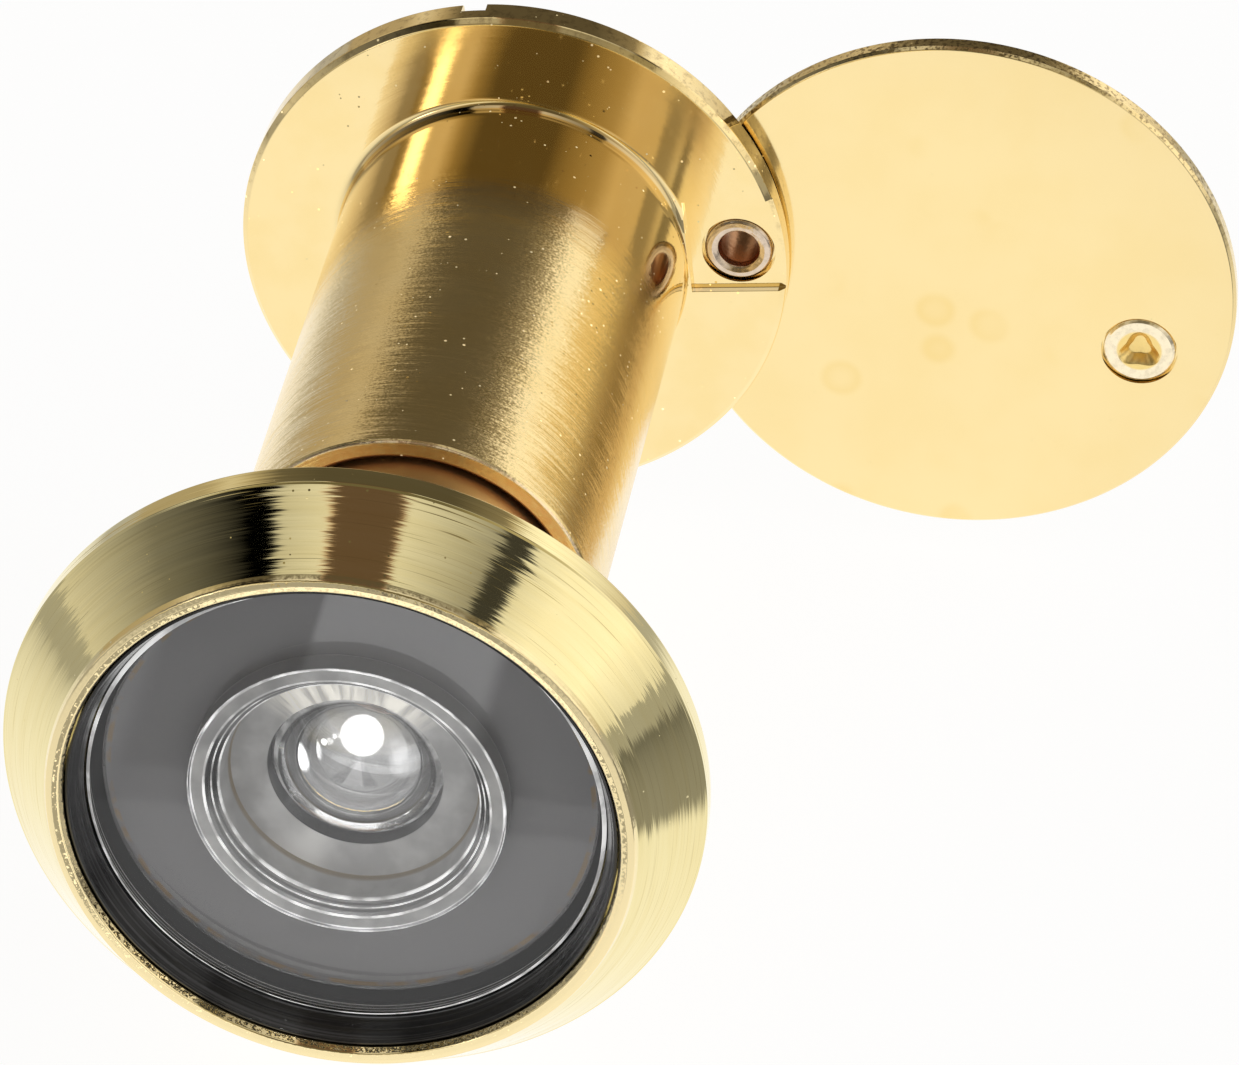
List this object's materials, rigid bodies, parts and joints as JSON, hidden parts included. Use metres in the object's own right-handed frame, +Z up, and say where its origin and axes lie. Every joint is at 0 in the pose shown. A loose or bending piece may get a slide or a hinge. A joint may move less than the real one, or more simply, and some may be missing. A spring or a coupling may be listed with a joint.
{
  "type": "door viewer",
  "caption": "Brass door viewer with a flanged sleeve, a screw-in bezel holding a wide-angle objective, and a round privacy cover that swings on a rivet.",
  "frame": {"origin": "Middle of the whole part's bounding box, with the cover open as pictured. The viewing axis is parallel to Y and passes through x = -8.99 mm, z = 0; the flange face that rests on the door is at y = +18.715 mm.", "axes": "+Y is the direction a visitor's image travels, from the outdoor lens (-Y end) to the eyepiece (+Y end). +Z is up and +X is toward the open cover."},
  "size_m": [0.0476, 0.0502, 0.0296],
  "materials": {
    "sleeve_brass": "satin on the tube, polished on the flange",
    "bezel_brass": "turned and polished",
    "cover_brass": "polished",
    "rivet_brass": "polished",
    "clear_glass": "clear, polished",
    "black_plastic": "glossy",
    "grey_plastic": "satin"
  },
  "bodies": {
    "indoor_set": {"sleeve": "sleeve_brass", "eyepiece_lens": "clear_glass", "eyepiece_ring": "black_plastic", "pivot_rivet": "rivet_brass"},
    "cover_set": {"cover_disc": "cover_brass", "pull_knob": "rivet_brass", "pivot_washer": "rivet_brass"},
    "optics_set": {"objective_lens": "clear_glass", "lens_holder": "black_plastic", "lens_seat": "grey_plastic", "front_spacer": "grey_plastic", "second_lens": "clear_glass", "middle_spacer": "black_plastic", "third_lens": "clear_glass", "barrel_ring": "black_plastic"},
    "bezel_set": {"bezel": "bezel_brass"}
  },
  "joints": [
    {"name": "cover_swing", "type": "hinge", "parent": "indoor_set", "child": "cover_set", "pos_m": [0.00131, 0.02093, 0.00115], "axis": [0, 1, 0], "range_deg": [-197.96, 162.04]},
    {"name": "door_thickness", "type": "slide", "parent": "indoor_set", "child": "optics_set", "axis": [0, 1, 0], "range_m": [-0.007, 0.0115]},
    {"name": "bezel_turn", "type": "hinge", "parent": "optics_set", "child": "bezel_set", "pos_m": [-0.00899, -0.02029, 0], "axis": [0, 1, 0], "continuous": true}
  ],
  "couplings": [
    {"joint": "bezel_turn", "follows": "door_thickness", "rad_per_m": 6283.2}
  ]
}
